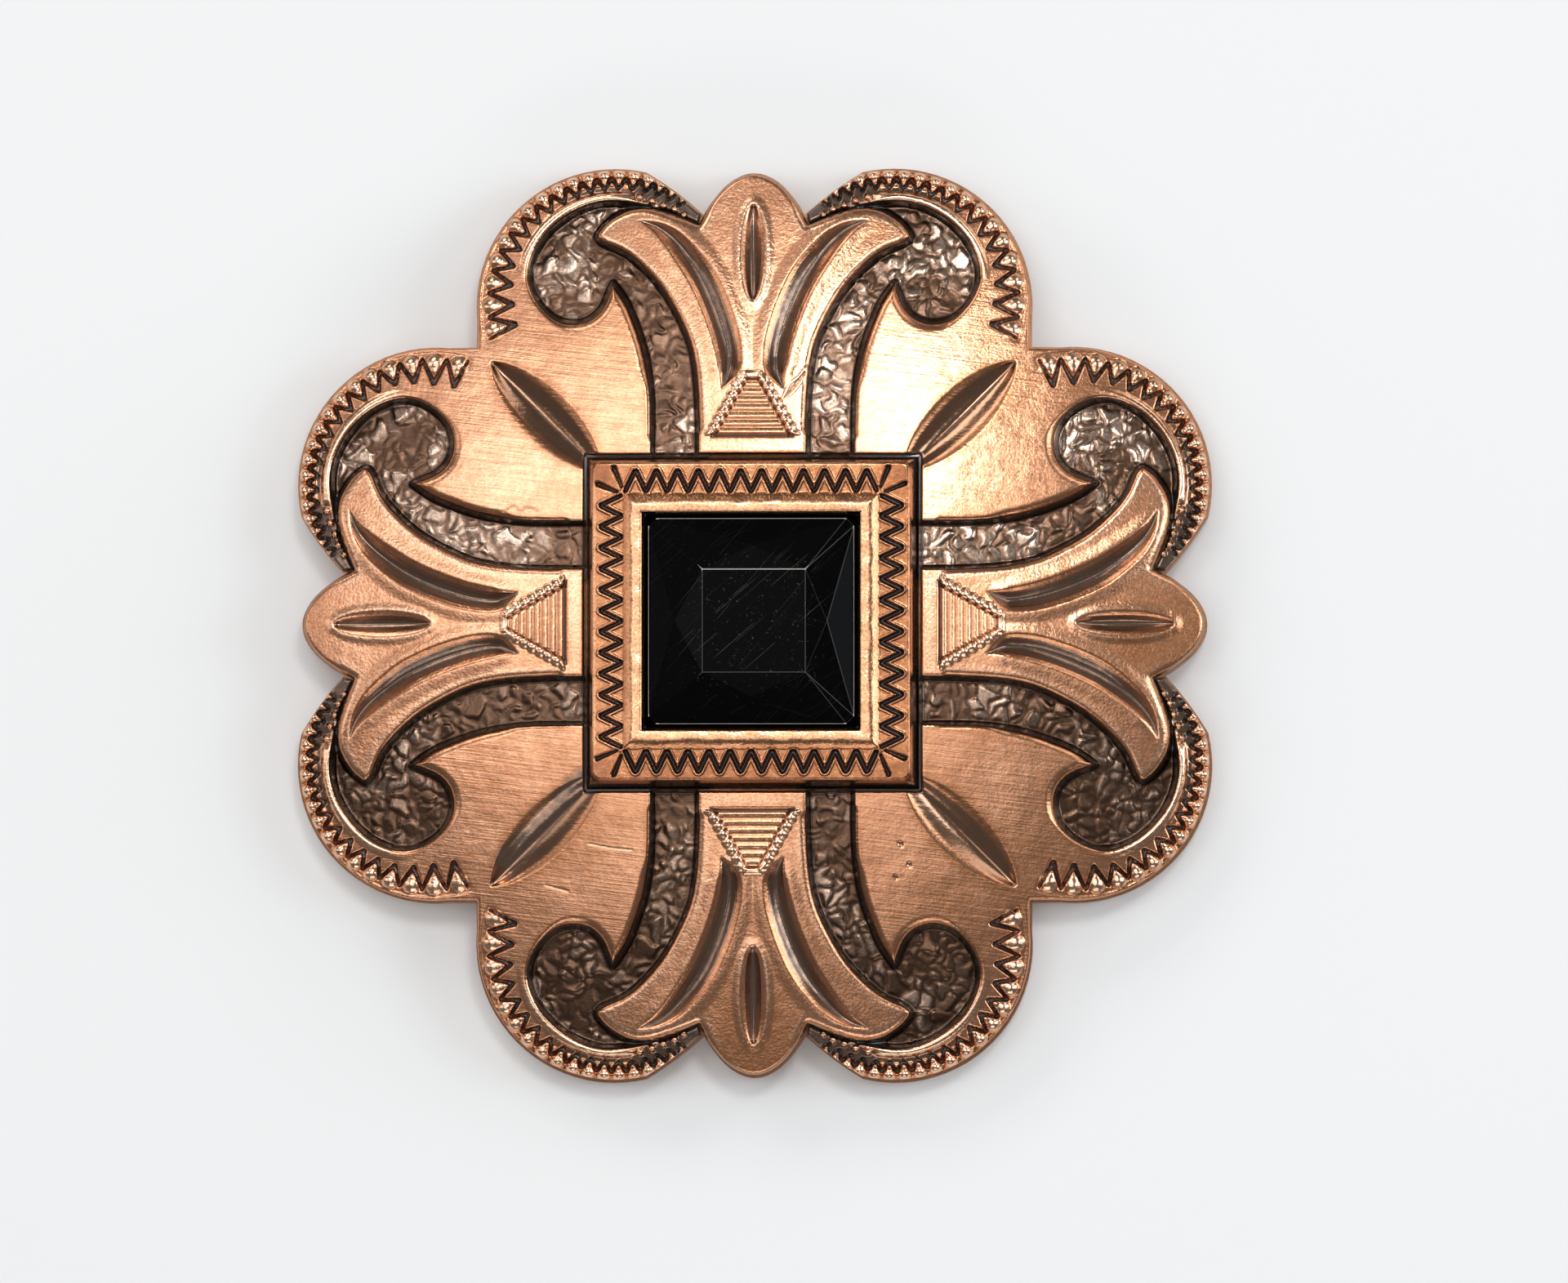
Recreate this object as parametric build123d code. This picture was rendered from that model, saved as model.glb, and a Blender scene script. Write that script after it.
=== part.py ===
from build123d import *
import math
import os

# A square-set concho that lies face up on its rim: +Z is up, the tulips lie on X and Y,
# and the middle of the rim's flat underside is the origin. Lengths are in millimetres.

# Plate, panels and tulips
HALF = 19.0             # middle to the far side of a lobe: half of the greatest width
CLEAR = 0.06            # gap between neighbouring pieces
EDGE_STEP = 0.12        # ground plate's edge beyond the panels and tulips that lie on it
PLATE_HIGH = 3.9        # ground surface above the table, at the middle
DOME_RADIUS = 63.6      # ground surface is part of a ball of this radius
WALL = 1.05             # plate's thickness at the middle
RIM_FLAT = 4.6          # width of the flat rim under a lobe
PANEL_THICK = 0.85      # panels above the ground
TULIP_THICK = 1.05      # tulips above the ground

# Stone, from its flat back up
STONE_WIDE = 8.0
STONE_CORNER = 0.3      # rounding of the stone's corners
PAVILION_TALL = 1.2     # flat back to the girdle
GIRDLE_TALL = 0.2
CROWN_TALL = 0.65       # girdle to the table
BACK_SHARE = 0.72       # flat back's width as a share of the stone's
TABLE_SHARE = 0.51      # table's width as a share of the stone's
POINT_SHARE = 0.74      # middle points of the crown's sides, out from the stone's axis
POINT_RISE = 0.7        # the same points above the girdle, as a share of the crown

# Bezel round the stone
STONE_FIT = 0.1         # gap between the stone and the opening
CUP_FLOOR = 0.6         # floor of the cup above the ground at the middle
RIM_WIDE = 0.9          # raised inner rim
RIM_TALL = 0.25         # its crest above the top face
BAND_WIDE = 1.2         # top face with the zigzag
BEZEL_SLOPE = 0.3       # bezel's foot beyond its top face
BEZEL_TALL = 2.2        # top face above the ground at the middle

# Back post
POST_RADIUS = 3.2
POST_LOW = 0.4          # end of the post above the table
POST_ROOF = 0.5         # metal above the threaded hole
BORE_RADIUS = 1.75      # threaded hole

# Engraved lines
LINE_WIDE = 0.13        # width of an engraved line
LINE_REACH = 0.16       # half of a zigzag line's width, measured along its teeth
LINE_DEEP = 0.2         # depth of an engraved line
HATCH_DEEP = 0.1        # depth of the fine lines on a tulip's foot
BEZEL_TEETH = 12        # zigzag points along one side of the bezel
BAND_MARGIN = 0.2       # plain strip on both sides of the bezel's zigzag
LOBE_TEETH = 18         # zigzag points round one lobe
HATCH_LINES = 10

# Heights and half widths that follow
HOLLOW_HIGH = PLATE_HIGH - WALL
HOLLOW_WIDE = HALF - RIM_FLAT
HOLLOW_RADIUS = (HOLLOW_WIDE ** 2 + HOLLOW_HIGH ** 2) / (2 * HOLLOW_HIGH)
OPENING = STONE_WIDE / 2 + STONE_FIT
RIM_OUTER = OPENING + RIM_WIDE
BEZEL_TOP = RIM_OUTER + BAND_WIDE
BEZEL_FOOT = BEZEL_TOP + BEZEL_SLOPE
BEZEL_HIGH = PLATE_HIGH + BEZEL_TALL
SEAT_HIGH = PLATE_HIGH + CUP_FLOOR

# Outlines. Each share is a fraction of HALF, measured from the middle of the concho:
# side is across the tulip's axis and out is along it.
LOBE_SIDE, LOBE_OUT, LOBE_SHARE = 0.287, 0.6605, 0.2816
NOTCH = (0.104, 0.8445)                 # between the leaf and a lobe
SHOULDER = (0.162, 0.893)               # on the flat stretch from the notch to the lobe
LOBE_START = (0.2225, 0.9335)           # where the lobe turns round
LOBE_CREST = (0.426, 0.906)             # on the lobe
LOBE_END = (0.5705, 0.63)               # where the lobe turns straight
CORNER = 0.571                          # notch on the diagonal, the same both ways
LEAF = (                                # side, out
    (0.0, 0.9315), (0.032, 0.9235), (0.063, 0.901), (0.085, 0.8745), NOTCH,
)
LEAF_ENDS = ((1, 0), (0.45, -0.89))     # the leaf's directions at its tip and at the notch
PETAL_TOP = (                           # side, out: from the leaf to the petal's tip
    (0.113, 0.8215), (0.158, 0.841), (0.2105, 0.855), (0.263, 0.851),
    (0.2975, 0.832), (0.3185, 0.81),
)
PETAL_TIP = (0.3235, 0.7975)
PETAL_UNDER = (                         # side, out: from the tip to the bezel
    (0.314, 0.786), (0.2895, 0.775), (0.2625, 0.7615), (0.2315, 0.7365),
    (0.185, 0.684), (0.1545, 0.6315), (0.1315, 0.579), (0.1195, 0.526),
    (0.1145, 0.4735), (0.111, 0.345), (0.111, 0.27),
)
CHANNEL = (                             # side, out: from under the bezel to the hook
    (0.2095, 0.27), (0.2075, 0.42), (0.212, 0.5), (0.2235, 0.563),
    (0.245, 0.626), (0.265, 0.669), (0.2845, 0.696),
)
HOOK_TIP = (0.2895, 0.703)
SCROLL = (                              # side, out: from the hook round the scroll opening
    (0.2965, 0.688), (0.312, 0.652), (0.337, 0.628), (0.372, 0.62), (0.41, 0.6305),
    (0.4475, 0.67), (0.462, 0.7155), (0.45, 0.766), (0.421, 0.809), (0.3685, 0.849),
    (0.3155, 0.867), (0.2635, 0.867), (0.215, 0.862),
)
UNDER_PETAL = ((0.15, 0.78), (0.06, 0.6), (0.06, 0.27))

# Grooves, as shares of HALF
MARQUISE = (0.4425, 0.759, 0.0458, 0.0263)      # inner end, outer end, half width, depth
LEAF_GROOVE = (0.667, 0.855, 0.0232, 0.0184)    # the same
GROOVE_LIFT = 0.0053                            # axis of a petal's groove above its surface
PETAL_GROOVE = (                                # side, out, half width
    (0.0535, 0.49, 0.002), (0.046, 0.5265, 0.0175), (0.0565, 0.6, 0.022),
    (0.079, 0.658, 0.0225), (0.1025, 0.713, 0.0225), (0.133, 0.754, 0.0215),
    (0.164, 0.791, 0.0185), (0.1975, 0.8175, 0.01), (0.237, 0.829, 0.002),
)

# Zigzag round a lobe, from the diagonal notch to the tulip
TOOTH_OUTER = 0.5                       # outer points, in from the edge
TOOTH_INNER = (1.4, 1.0)                # inner points, in from the edge, first and last
ZIGZAG_FROM, ZIGZAG_TO = -17.0, 122.0   # angles round the lobe's middle
FIRST_TOOTH = 1.8                       # first tooth's width, where the last one's is about 1

# Hatched foot of a tulip: half width and distance out, as shares of HALF
FOOT_TOP = (0.012, 0.496)
FOOT_LOW = (0.061, 0.384)
LEDGE = (0.084, 0.3785)

BALL_LOW = PLATE_HIGH - DOME_RADIUS     # height of the middle of the dome's ball
TALL = 2 * (BEZEL_HIGH + RIM_TALL)      # taller than the whole concho
DIAGONAL = Plane.YZ.rotated((0, 0, -45))


def place(row, scale=1.0):
    return (row[0] * HALF * scale, row[1] * HALF * scale)


def ball(above):
    """Ball whose top lies a given height above the ground surface."""
    return Pos(0, 0, BALL_LOW) * Rot(90, 0, 0) * Sphere(DOME_RADIUS + above)


def hollow(lower):
    """Ball that hollows the back of the plate, lowered by a given gap."""
    middle = HOLLOW_HIGH - HOLLOW_RADIUS - lower
    return Pos(0, 0, middle) * Rot(90, 0, 0) * Sphere(HOLLOW_RADIUS)


def height(x, y, above):
    """Height of a place on the domed surface that lies a given height above the ground."""
    return BALL_LOW + math.sqrt((DOME_RADIUS + above) ** 2 - x * x - y * y)


def neighbours(rows):
    """Each row with the one before it and the one after it."""
    return zip([rows[0]] + rows[:-1], rows, rows[1:] + [rows[-1]])


def moved_aside(points, reach):
    """Points moved by a given reach to the left of the way they run."""
    moved = []
    for before, here, after in neighbours(points):
        along = Vector(*after) - Vector(*before)
        aside = Vector(-along.Y, along.X).normalized() * reach
        moved.append((here[0] + aside.X, here[1] + aside.Y))
    return moved


def outline(scale):
    """The eight-lobed outline of the concho."""
    start, crest, end = (place(row, scale) for row in (LOBE_START, LOBE_CREST, LOBE_END))
    eighth = [
        Spline(*[place(row, scale) for row in LEAF], tangents=LEAF_ENDS),
        ThreePointArc(place(NOTCH, scale), place(SHOULDER, scale), start),
        ThreePointArc(start, crest, end),
        Line(end, place((CORNER, CORNER), scale)),
    ]
    lines = Curve()
    for turn in range(4):
        for line in eighth:
            lines += Rot(0, 0, 90 * turn) * line
            lines += Rot(0, 0, 90 * turn) * mirror(line, Plane.YZ)
    return make_face(lines)


def tulip_outline(grow, leaf_step):
    """A tulip on the Y axis: leaf, petals and stem, grown sideways and along the leaf."""
    leaf = [place(row, 1 + leaf_step / HALF) for row in LEAF]
    petal = [place(row) for row in PETAL_TOP + (PETAL_TIP,) + PETAL_UNDER]
    tip, *edge = moved_aside(leaf + petal, grow)
    leaf = [(0, tip[1])] + edge[:len(leaf) - 1]
    petal = edge[len(leaf) - 1:]
    right = [
        Spline(*leaf, tangents=LEAF_ENDS),
        Line(leaf[-1], petal[0]),
        Spline(*petal),
        Line(petal[-1], (0, petal[-1][1])),
    ]
    return make_face(Curve() + right + [mirror(line, Plane.YZ) for line in right])


def scroll_opening():
    """Channel and scroll opening on the right of the tulip on the Y axis."""
    under = [place(row) for row in UNDER_PETAL]
    channel = [place(row) for row in CHANNEL]
    scroll = [place(row) for row in SCROLL]
    return make_face(Curve() + [
        Spline(*channel, place(HOOK_TIP)),
        Spline(place(HOOK_TIP), *scroll),
        Polyline(scroll[-1], *under, channel[0]),
    ])


def without_bezel(face):
    foot = 2 * (BEZEL_FOOT + CLEAR)
    return face - Rectangle(foot, foot)


def square_prism(half, low, high):
    return Pos(0, 0, low) * extrude(Rectangle(2 * half, 2 * half), high - low)


def domed(face, thick):
    """A piece of a given outline and thickness that lies on the ground surface."""
    piece = (extrude(face, TALL) & ball(thick)) - ball(CLEAR)
    return max(piece.solids(), key=lambda solid: solid.volume)


def engraving(face, thick, deep):
    """What a cut of a given depth takes from a domed piece."""
    return extrude(face, TALL) - ball(thick - deep)


def pointed_groove(groove, thick, turn):
    """Round groove with two pointed ends, along a ray from the middle."""
    inner, outer, half_wide, deep = (size * HALF for size in groove)
    radius = (half_wide ** 2 / deep + deep) / 2
    lift = radius - deep
    length = (outer - inner) / 2 / math.sqrt(1 - lift / radius)
    bow = ThreePointArc((-length, 0), (0, radius), (length, 0))
    cutter = revolve(make_face(Curve() + [bow, Line((length, 0), (-length, 0))]), Axis.X)
    middle = (inner + outer) / 2
    slope = math.degrees(math.asin(middle / DOME_RADIUS))
    seat = Pos(middle, 0, height(middle, 0, thick) + lift) * Rot(0, slope, 0)
    return Rot(0, 0, turn) * seat * cutter


def petal_groove():
    """Curved round groove along the petal on the right of the tulip on the Y axis."""
    rows = []
    for side, out, half in PETAL_GROOVE:
        x, y = place((side, out))
        rows.append((Vector(x, y, height(x, y, TULIP_THICK)), half * HALF))
    lift = GROOVE_LIFT * HALF
    rings = []
    for before, (middle, half), after in neighbours(rows):
        ring = Plane(origin=middle + Vector(0, 0, lift), z_dir=after[0] - before[0])
        rings.append(ring * Circle(math.hypot(half, lift)))
    return loft(rings)


def ribbon(points):
    """Strip along a zigzag in the XY plane."""
    near = moved_aside(points, LINE_REACH)
    far = moved_aside(points, -LINE_REACH)
    return make_face(Polyline(*near, *reversed(far), close=True))


def lobe_zigzag():
    """Zigzag line round the lobe on the right of the tulip on the Y axis."""
    middle = Vector(*place((LOBE_SIDE, LOBE_OUT)))
    edge = LOBE_SHARE * HALF - EDGE_STEP
    weights = [FIRST_TOOTH + (1 - FIRST_TOOTH) * i / LOBE_TEETH for i in range(LOBE_TEETH)]
    angle = ZIGZAG_FROM
    points = []
    for i, weight in enumerate(weights):
        step = (ZIGZAG_TO - ZIGZAG_FROM) * weight / sum(weights)
        inner = TOOTH_INNER[0] + (TOOTH_INNER[1] - TOOTH_INNER[0]) * i / LOBE_TEETH
        for depth, turn in ((TOOTH_OUTER, angle), (inner, angle + step / 2)):
            point = middle + Vector(edge - depth, 0).rotate(Axis.Z, turn)
            points.append((point.X, point.Y))
        angle += step
    return ribbon(points)


def ground_plate():
    return (extrude(outline(1.0), TALL) & ball(0)) - hollow(0)


def scroll_panel():
    """Panel between the tulips on +X and +Y."""
    quarter = Pos(HALF, HALF) * Rectangle(2 * HALF, 2 * HALF)
    face = without_bezel(outline(1 - EDGE_STEP / HALF) & quarter)
    for shape in (tulip_outline(CLEAR, EDGE_STEP), scroll_opening()):
        face -= shape
        face -= mirror(shape, DIAGONAL)
    face = max(face.faces(), key=lambda part: part.area)
    panel = domed(face, PANEL_THICK) - pointed_groove(MARQUISE, PANEL_THICK, 45)
    line = engraving(lobe_zigzag(), PANEL_THICK, LINE_DEEP)
    return panel - line - mirror(line, DIAGONAL)


def tulip():
    """Tulip on +Y."""
    body = domed(without_bezel(tulip_outline(0, -EDGE_STEP)), TULIP_THICK)
    body -= pointed_groove(LEAF_GROOVE, TULIP_THICK, 90)
    groove = petal_groove()
    body = body - groove - mirror(groove, Plane.YZ)
    for i in range(HATCH_LINES):
        part = (i + 0.5) / HATCH_LINES
        half, out = place((
            FOOT_TOP[0] + (FOOT_LOW[0] - FOOT_TOP[0]) * part,
            FOOT_TOP[1] + (FOOT_LOW[1] - FOOT_TOP[1]) * part,
        ))
        stroke = Pos(0, out) * Rectangle(2 * half, LINE_WIDE / 2)
        body -= engraving(stroke, TULIP_THICK, HATCH_DEEP)
    half, out = place(LEDGE)
    ledge = Pos(0, out) * Rectangle(2 * half, LINE_WIDE)
    return body - engraving(ledge, TULIP_THICK, HATCH_DEEP)


def bezel_zigzag():
    """Zigzag line on the bezel's top face beside +Y."""
    inner = RIM_OUTER + BAND_MARGIN
    outer = BEZEL_TOP - BAND_MARGIN
    pitch = 2 * inner / (BEZEL_TEETH + 0.5)
    points = []
    for tooth in range(BEZEL_TEETH):
        x = (tooth - (BEZEL_TEETH - 1) / 2) * pitch
        points += [(x - pitch / 2, inner), (x, outer)]
    points.append((points[-1][0] + pitch / 2, inner))
    return ribbon(points)


def bezel_frame():
    low = height(BEZEL_FOOT, BEZEL_FOOT, -CLEAR)
    tall = BEZEL_HIGH - low
    lean = math.degrees(math.atan(BEZEL_SLOPE / tall))
    frame = Pos(0, 0, low) * extrude(Rectangle(2 * BEZEL_FOOT, 2 * BEZEL_FOOT), tall, taper=lean)
    rim = square_prism(RIM_OUTER, BEZEL_HIGH - CLEAR, BEZEL_HIGH + RIM_TALL)
    frame += fillet(rim.edges().group_by(Axis.Z)[-1], RIM_TALL)
    frame -= square_prism(OPENING, SEAT_HIGH, TALL)
    frame -= ball(CLEAR)
    line = Pos(0, 0, BEZEL_HIGH - LINE_DEEP) * extrude(bezel_zigzag(), TALL)
    for turn in range(4):
        frame -= Rot(0, 0, 90 * turn) * line
    return frame


def stone():
    """Square stone: flat back, sloping pavilion, girdle, and a crown of seventeen facets."""
    half = STONE_WIDE / 2
    back = half * BACK_SHARE
    low = SEAT_HIGH + CLEAR
    belt_low = low + PAVILION_TALL
    belt_high = belt_low + GIRDLE_TALL
    base = Pos(0, 0, low) * Rectangle(2 * back, 2 * back)
    pavilion = loft([base, Pos(0, 0, belt_low) * Rectangle(2 * half, 2 * half)], ruled=True)
    belt = square_prism(half, belt_low, belt_high)

    corners = [(1, 1), (-1, 1), (-1, -1), (1, -1)]
    sides = [(0, 1), (-1, 0), (0, -1), (1, 0)]
    top = half * TABLE_SHARE
    out = half * POINT_SHARE
    table = [Vector(x * top, y * top, belt_high + CROWN_TALL) for x, y in corners]
    edge = [Vector(x * half, y * half, belt_high) for x, y in corners]
    points = [Vector(x * out, y * out, belt_high + CROWN_TALL * POINT_RISE) for x, y in sides]
    facets = [table, edge]
    for i, point in enumerate(points):
        after = (i + 1) % 4
        facets.append([table[i], table[after], point])
        facets.append([table[i], point, edge[i]])
        facets.append([table[after], edge[after], point])
        facets.append([edge[i], point, edge[after]])
    crown = Solid(Shell([Face(Wire.make_polygon(facet, close=True)) for facet in facets]))
    column = extrude(RectangleRounded(2 * half, 2 * half, STONE_CORNER), TALL)
    return (pavilion + belt + crown) & column


def back_post():
    post = Pos(0, 0, POST_LOW) * extrude(Circle(POST_RADIUS), TALL) & hollow(CLEAR)
    deep = HOLLOW_HIGH - CLEAR - POST_ROOF - POST_LOW
    return post - Pos(0, 0, POST_LOW) * extrude(Circle(BORE_RADIUS), deep)


def save(shape, name):
    export_step(shape, f"parts/{name}.step")


os.makedirs("parts", exist_ok=True)
save(ground_plate(), "ground_plate")
save(bezel_frame(), "bezel_frame")
save(stone(), "stone")
save(back_post(), "back_post")
panel = scroll_panel()
flower = tulip()
for turn, side in enumerate(("back_right", "back_left", "front_left", "front_right")):
    save(Rot(0, 0, 90 * turn) * panel, f"scroll_panel_{side}")
for turn, side in enumerate(("back", "left", "front", "right")):
    save(Rot(0, 0, 90 * turn) * flower, f"tulip_{side}")
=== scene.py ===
import bmesh
import bpy
import math
import numpy as np
from mathutils import Matrix, Vector, kdtree, noise


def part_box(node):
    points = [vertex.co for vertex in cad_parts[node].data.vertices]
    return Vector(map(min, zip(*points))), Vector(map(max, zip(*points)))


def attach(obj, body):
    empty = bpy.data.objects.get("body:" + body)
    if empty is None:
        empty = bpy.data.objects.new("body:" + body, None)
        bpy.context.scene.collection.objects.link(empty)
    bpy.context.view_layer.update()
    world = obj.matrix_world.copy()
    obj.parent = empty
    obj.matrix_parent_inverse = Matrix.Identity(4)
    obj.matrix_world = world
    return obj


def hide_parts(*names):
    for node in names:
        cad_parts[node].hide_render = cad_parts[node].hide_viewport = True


# Concho in antiqued copper round a square black stone. Places are in the frame's metres;
# the relief is worked out in millimetres and MM turns it into metres.
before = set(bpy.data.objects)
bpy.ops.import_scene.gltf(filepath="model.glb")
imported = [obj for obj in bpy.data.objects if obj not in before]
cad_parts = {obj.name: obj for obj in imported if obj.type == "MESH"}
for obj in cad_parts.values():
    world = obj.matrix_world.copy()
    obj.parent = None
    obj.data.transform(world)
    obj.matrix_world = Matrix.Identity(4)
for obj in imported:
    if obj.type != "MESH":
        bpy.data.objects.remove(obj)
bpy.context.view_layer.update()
MM = 0.001

# Sizes that the frame gives, in millimetres
PLATE_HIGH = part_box("ground_plate")[1][2] / MM
FOOT_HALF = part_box("bezel_frame")[1][0] / MM
CREST_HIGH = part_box("bezel_frame")[1][2] / MM
STONE_LOW, STONE_HIGH = (corner[2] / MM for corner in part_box("stone"))
STONE_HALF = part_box("stone")[1][0] / MM

# Sizes of the relief, in millimetres
DOME_RADIUS = 63.6          # ground surface
PANEL_THICK = 0.85
TULIP_THICK = 1.05
SEAT = 0.06                 # gap under panels, tulips and bezel
PANEL_CELL = 0.042          # mesh step
TULIP_CELL = 0.046
BEZEL_CELL = 0.04
GROUND_CELL = 0.06
LINE_STEP = 0.02            # between the points of a line
MARGIN = 0.1                # round an outline where its sheet is laid
LOBE_MIDDLE = (5.453, 12.55)
TOOTH_ANGLES = (            # inner points of the zigzag round a lobe, degrees
    -12.5, -0.8, 10.2, 20.4, 29.8, 38.4, 47.2, 55.6, 63.6, 71.0, 78.2, 85.2, 92.0, 98.7,
    105.2, 111.4, 117.4, 123.2,
)


# Numbers over a whole mesh

FAR = 99.0                  # gap of a point that isn't measured


def smooth(low, high, x):
    """0 below low and 1 above high, with soft ends."""
    t = np.clip((x - low) / (high - low), 0, 1)
    return t * t * (3 - 2 * t)


def dome(x, y, above):
    """Height of the domed surface that lies a given height above the ground."""
    return PLATE_HIGH - DOME_RADIUS + np.sqrt((DOME_RADIUS + above) ** 2 - x * x - y * y)


def resampled(points, closed=False):
    """The same line with its points evenly spaced."""
    points = np.asarray(points, dtype=float)
    if closed:
        points = np.vstack([points, points[:1]])
    along = np.concatenate([[0], np.cumsum(np.linalg.norm(np.diff(points, axis=0), axis=1))])
    count = max(2, int(round(along[-1] / LINE_STEP)) + 1)
    marks = np.linspace(0, along[-1], count)[: -1 if closed else None]
    return np.column_stack([np.interp(marks, along, column) for column in points.T])


def curved(points):
    """A smooth line through a few points."""
    points = np.asarray(points, dtype=float)
    padded = np.vstack([2 * points[0] - points[1], points, 2 * points[-1] - points[-2]])
    t = np.linspace(0, 1, 24, endpoint=False)[:, None]
    pieces = []
    for a, b, c, d in zip(padded, padded[1:], padded[2:], padded[3:]):
        pieces.append(
            0.5 * (2 * b + (c - a) * t + (2 * a - 5 * b + 4 * c - d) * t ** 2
                   + (3 * b - a - 3 * c + d) * t ** 3)
        )
    return resampled(np.vstack(pieces + [points[-1:]]))


class Line:
    """A line in plan that tells how far off it each point lies, and which of its points is nearest."""

    def __init__(self, points):
        self.points = np.asarray(points, dtype=float)
        self.tree = kdtree.KDTree(len(self.points))
        for i, point in enumerate(self.points):
            self.tree.insert((point[0], point[1], 0), i)
        self.tree.balance()

    def near(self, x, y, mask=None):
        gap = np.full(len(x), FAR)
        index = np.zeros(len(x), dtype=int)
        chosen = range(len(x)) if mask is None else np.nonzero(mask)[0]
        for i in chosen:
            index[i], gap[i] = self.tree.find((x[i], y[i], 0))[1:]
        return gap, index

    def gap(self, x, y, mask=None):
        return self.near(x, y, mask)[0]


def inside(points, x, y):
    """Which places lie inside a closed line."""
    hit = np.zeros(len(x), dtype=bool)
    for (x0, y0), (x1, y1) in zip(points, np.roll(points, -1, axis=0)):
        if y0 == y1:
            continue
        crossing = (y0 > y) != (y1 > y)
        hit ^= crossing & (x < (x1 - x0) * (y - y0) / (y1 - y0) + x0)
    return hit


def groove(gap, half, soft=0.35):
    """A groove's profile: 0 at its edge and outside, 1 along its middle. Soft rounds its walls."""
    t = np.clip(1 - gap / np.maximum(half, 1e-4), 0, 1) * (half > 0.01)
    return t - soft * np.sin(2 * np.pi * t) / (2 * np.pi)


def rounded(gap, radius):
    """A bead's profile: 1 at its middle, 0 at its edge."""
    return np.clip(1 - (gap / radius) ** 2, 0, 1) ** 1.15


# Meshes

MERGE = 1e-6                # metres within which points are one


def outline(node):
    """Edge of a node's underside in plan, from its own mesh, as one closed line in millimetres."""
    bm = bmesh.new()
    bm.from_mesh(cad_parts[node].data)
    bmesh.ops.remove_doubles(bm, verts=bm.verts, dist=2 * MERGE)
    bm.verts.index_update()
    bm.normal_update()
    following = {}
    for edge in bm.edges:
        if len(edge.link_faces) != 2:
            continue
        low, high = sorted(face.normal.z for face in edge.link_faces)
        if low < -0.8 and abs(high) < 0.2:
            a, b = edge.verts
            following.setdefault(a, []).append(b)
            following.setdefault(b, []).append(a)
    loops = []
    unseen = set(following)
    while unseen:
        here = min(unseen, key=lambda vert: vert.index)
        loop = []
        while here is not None:
            loop.append((here.co.x / MM, here.co.y / MM))
            unseen.discard(here)
            here = next((vert for vert in following[here] if vert in unseen), None)
        loops.append(np.array(loop))
    bm.free()
    longest = max(loops, key=lambda loop: np.linalg.norm(np.diff(loop, axis=0), axis=1).sum())
    return resampled(longest, closed=True)


def sheet(low, high, cell, keep):
    """Flat mesh of small squares between two corners, where keep says so. Lengths in millimetres."""
    bm = bmesh.new()
    size = [high[i] - low[i] for i in range(2)]
    count = [int(math.ceil(length / cell)) for length in size]
    place = Matrix.Translation(((low[0] + high[0]) / 2, (low[1] + high[1]) / 2, 0))
    stretch = Matrix.Diagonal((size[0], size[1], 1, 1))
    bmesh.ops.create_grid(
        bm, x_segments=count[0], y_segments=count[1], size=0.5, matrix=place @ stretch,
    )
    middles = np.array([face.calc_center_median()[:2] for face in bm.faces])
    kept = keep(middles[:, 0], middles[:, 1])
    outside = [face for face, stays in zip(bm.faces, kept) if not stays]
    bmesh.ops.delete(bm, geom=outside, context="FACES")
    return bm


def fit_edge(bm, edge):
    """Moves the sheet's border onto a line in plan and evens out the squares beside it."""
    border = [vert for vert in bm.verts if vert.is_boundary]
    for vert in border:
        point = edge.points[edge.tree.find((vert.co.x, vert.co.y, 0))[1]]
        vert.co.x, vert.co.y = point
    links = [link for vert in border for link in vert.link_edges]
    beside = list(dict.fromkeys(
        vert for link in links for vert in link.verts if not vert.is_boundary
    ))
    for _ in range(3):
        bmesh.ops.smooth_vert(bm, verts=beside, factor=0.5, use_axis_x=True, use_axis_y=True)


def plan(bm):
    return np.array([vert.co[:2] for vert in bm.verts]).T


def raise_to(bm, heights, recess, rub_and_highlight):
    """Gives each point its height and its two masks: darkening, mostly patina and stains in the
    recesses with painted shade in places, and rubbed metal with painted highlights in places.
    """
    recess_layer = bm.verts.layers.float.new("recess")
    rub_and_highlight_layer = bm.verts.layers.float.new("rub_and_highlight")
    for vert, z, darkening, bright in zip(bm.verts, heights, recess, rub_and_highlight):
        vert.co.z = z
        vert[recess_layer] = darkening
        vert[rub_and_highlight_layer] = bright


def extruded(bm, edges):
    """New points and border edges, still in the place of the ones they come from."""
    made = bmesh.ops.extrude_edge_only(bm, edges=edges)["geom"]
    verts = [item for item in made if isinstance(item, bmesh.types.BMVert)]
    edges = [item for item in made if isinstance(item, bmesh.types.BMEdge) and item.is_boundary]
    return verts, edges


def add_walls(bm):
    """Walls from the sheet's border down to the seat, and the underside between them."""
    recess_layer = bm.verts.layers.float["recess"]
    edges = [edge for edge in bm.edges if edge.is_boundary]
    for share, rim_dirt in ((0.5, 0.3), (1.0, 0.6)):
        verts, edges = extruded(bm, edges)
        for vert in verts:
            x, y, z = vert.co
            at_rim = PLATE_EDGE.tree.find((x, y, 0))[2] < 0.3
            vert.co.z += (float(dome(x, y, SEAT)) - z) * share
            vert[recess_layer] = rim_dirt if at_rim else 1.0
    bmesh.ops.contextual_create(bm, geom=edges)


def raised_sheet(edge, cell, thick, relief):
    """A piece that follows the dome inside its outline: its relief, its walls and its underside."""
    points = edge.points
    low, high = points.min(axis=0) - MARGIN, points.max(axis=0) + MARGIN
    bm = sheet(low, high, cell, lambda x, y: inside(points[::3], x, y))
    fit_edge(bm, edge)
    x, y = plan(bm)
    height, recess, rub_and_highlight = relief(x, y)
    raise_to(bm, dome(x, y, thick) + height, recess, rub_and_highlight)
    add_walls(bm)
    return bm


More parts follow.
